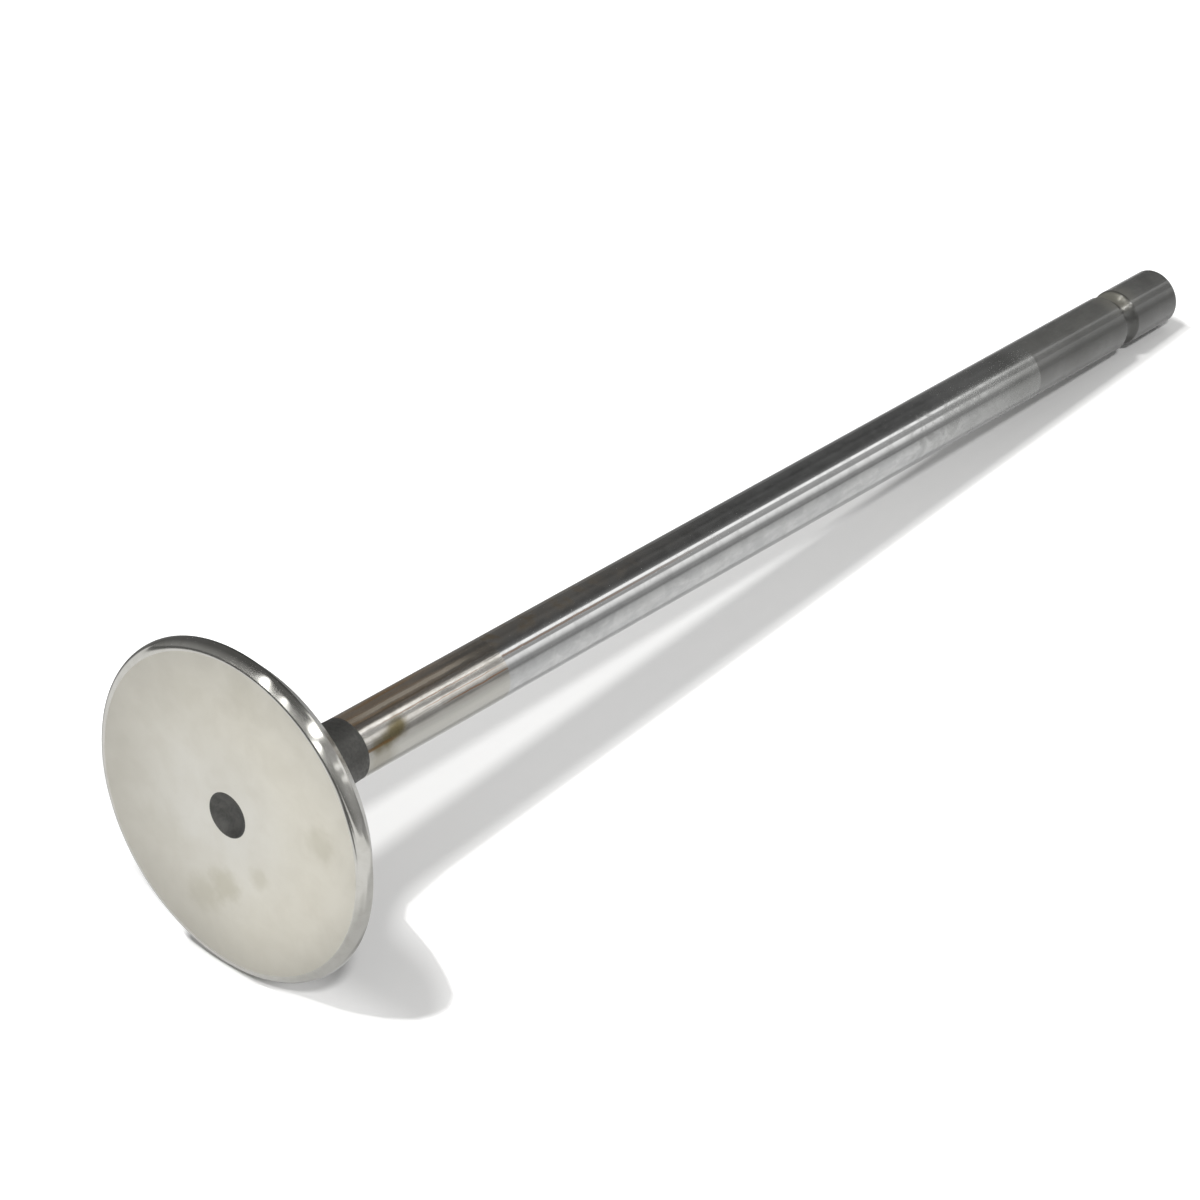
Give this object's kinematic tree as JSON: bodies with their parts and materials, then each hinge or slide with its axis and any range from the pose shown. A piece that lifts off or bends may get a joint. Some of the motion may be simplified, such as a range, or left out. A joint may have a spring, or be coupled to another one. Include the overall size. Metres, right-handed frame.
{
  "type": "engine valve",
  "caption": "Poppet valve for a large diesel engine: round head with a ground seat, long slim stem, one round keeper groove near the tip.",
  "frame": {"origin": "centre of the combustion face, the flat side of the head that the valve stands on; the shallow dimple at the centre of the face is above this point", "axes": "+Z along the stem, from the head to the tip; the valve is turned about Z, so X and Y are free"},
  "size_m": [0.043, 0.043, 0.186],
  "materials": {
    "valve_steel": "ground and polished steel: satin face, hard-chromed stem, duller ground tip, dark neck"
  },
  "bodies": {
    "root": {"engine_valve": "valve_steel"}
  },
  "joints": []
}
